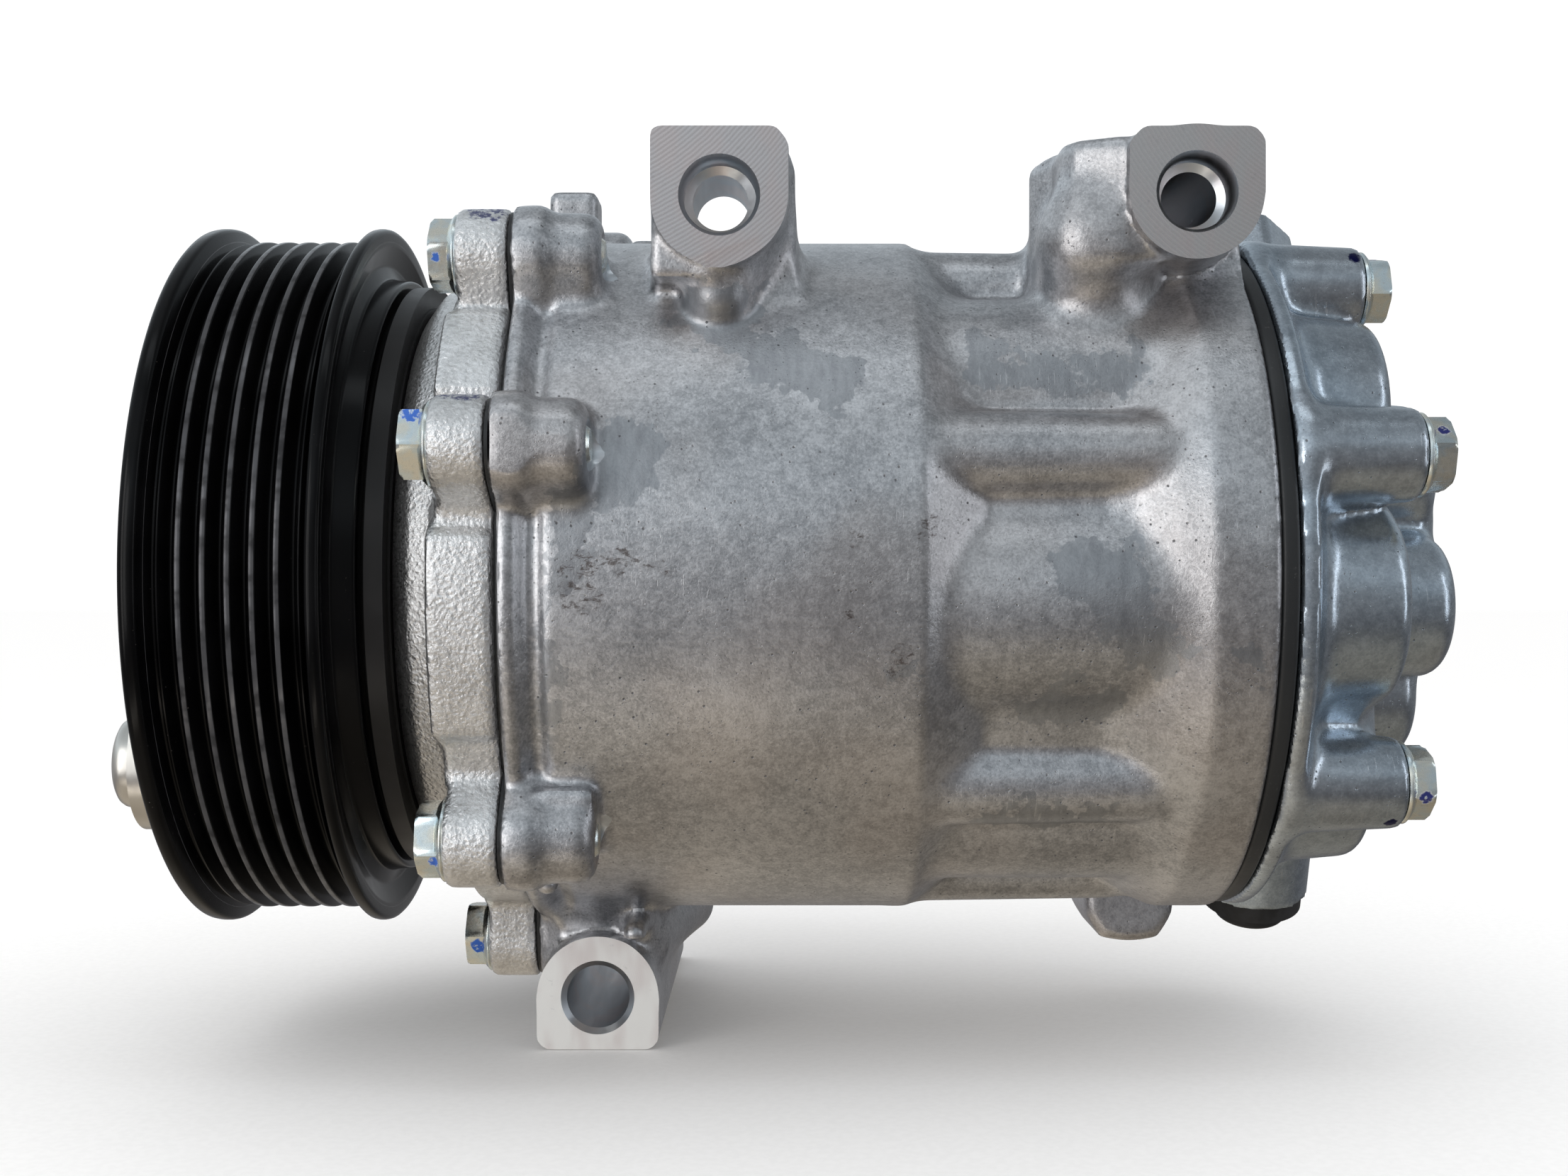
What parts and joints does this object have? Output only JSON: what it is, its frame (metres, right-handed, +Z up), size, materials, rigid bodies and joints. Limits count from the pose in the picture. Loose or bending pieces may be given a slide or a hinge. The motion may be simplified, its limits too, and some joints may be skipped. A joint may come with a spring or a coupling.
{
  "type": "automotive ac compressor",
  "caption": "Swash-plate air-conditioning compressor with a grooved belt pulley and clutch, cast aluminium body with mounting ears, and a lobed rear head.",
  "frame": {"origin": "on the shaft axis, in the middle plane of the belt grooves", "axes": "+X along the shaft from the clutch to the rear head, +Z up; the two upper mounting faces look along -Y"},
  "size_m": [0.2117, 0.1315, 0.1463],
  "materials": {
    "cast_body": "die-cast, mottled satin",
    "cast_front": "coarse as-cast",
    "cast_head": "smooth die-cast",
    "black_steel": "semi-gloss black",
    "zinc_steel": "bright zinc plate",
    "satin_steel": "satin",
    "ground_steel": "ground",
    "spring_steel": "dark oiled",
    "inner_aluminium": "machined",
    "bronze": "satin",
    "brass": "satin",
    "copper_coil": "resin-dipped winding",
    "black_rubber": "matt",
    "ptfe": "matt",
    "black_plastic": "matt",
    "valve_steel": "satin"
  },
  "bodies": {
    "compressor": {"front_housing": "cast_front", "cylinder_housing": "cast_body", "rear_head": "cast_head", "housing_gasket": "black_rubber", "front_screws": "zinc_steel", "rear_screws": "zinc_steel", "coil_shell": "black_steel", "coil_winding": "copper_coil", "coil_snap_ring": "spring_steel", "pulley_snap_ring": "spring_steel", "pulley_bearing_inner_race": "ground_steel", "shaft_seal": "black_rubber", "seal_snap_ring": "spring_steel", "front_needle_bearing": "ground_steel", "front_thrust_bearing": "ground_steel", "wobble_plate": "inner_aluminium", "wobble_thrust_bearing": "ground_steel", "guide_rail": "ground_steel", "guide_slider": "bronze", "connecting_rods": "ground_steel", "pistons": "inner_aluminium", "piston_rings": "ptfe", "rear_needle_bearing": "ground_steel", "rear_thrust_ring": "ground_steel", "cylinder_gasket": "black_rubber", "suction_reeds": "ground_steel", "valve_plate": "ground_steel", "discharge_reeds": "ground_steel", "reed_retainer": "ground_steel", "reed_bolt": "ground_steel", "rear_seal_ring": "black_rubber", "control_valve": "valve_steel", "control_valve_cap": "black_plastic", "relief_valve": "brass"},
    "pulley": {"pulley": "black_steel", "pulley_bearing_outer_race": "ground_steel", "pulley_bearing_seals": "black_rubber"},
    "pulley_bearing_balls": {"pulley_bearing_balls": "ground_steel"},
    "shaft": {"drive_shaft": "ground_steel", "clutch_hub": "satin_steel", "hub_nut": "zinc_steel", "hub_plate": "satin_steel", "damper_cups": "satin_steel", "damper_rubbers": "black_rubber", "air_gap_shims": "satin_steel", "lug_rotor": "ground_steel", "hinge_pin": "ground_steel", "pivot_sleeve": "ground_steel", "journal": "ground_steel", "wobble_retaining_ring": "spring_steel", "return_spring": "spring_steel"},
    "armature": {"armature_plate": "ground_steel", "armature_rivets": "satin_steel"}
  },
  "joints": [
    {"name": "pulley_spin", "type": "hinge", "parent": "compressor", "child": "pulley", "pos_m": [0, 0, 0], "axis": [1, 0, 0], "continuous": true},
    {"name": "pulley_ball_spin", "type": "hinge", "parent": "compressor", "child": "pulley_bearing_balls", "pos_m": [0, 0, 0], "axis": [1, 0, 0], "continuous": true},
    {"name": "shaft_spin", "type": "hinge", "parent": "compressor", "child": "shaft", "pos_m": [0, 0, 0], "axis": [1, 0, 0], "continuous": true},
    {"name": "armature_pull", "type": "slide", "parent": "shaft", "child": "armature", "axis": [1, 0, 0], "range_m": [0, 0.0004]}
  ],
  "couplings": [
    {"joint": "pulley_ball_spin", "follows": "pulley_spin", "ratio": 0.5689}
  ]
}
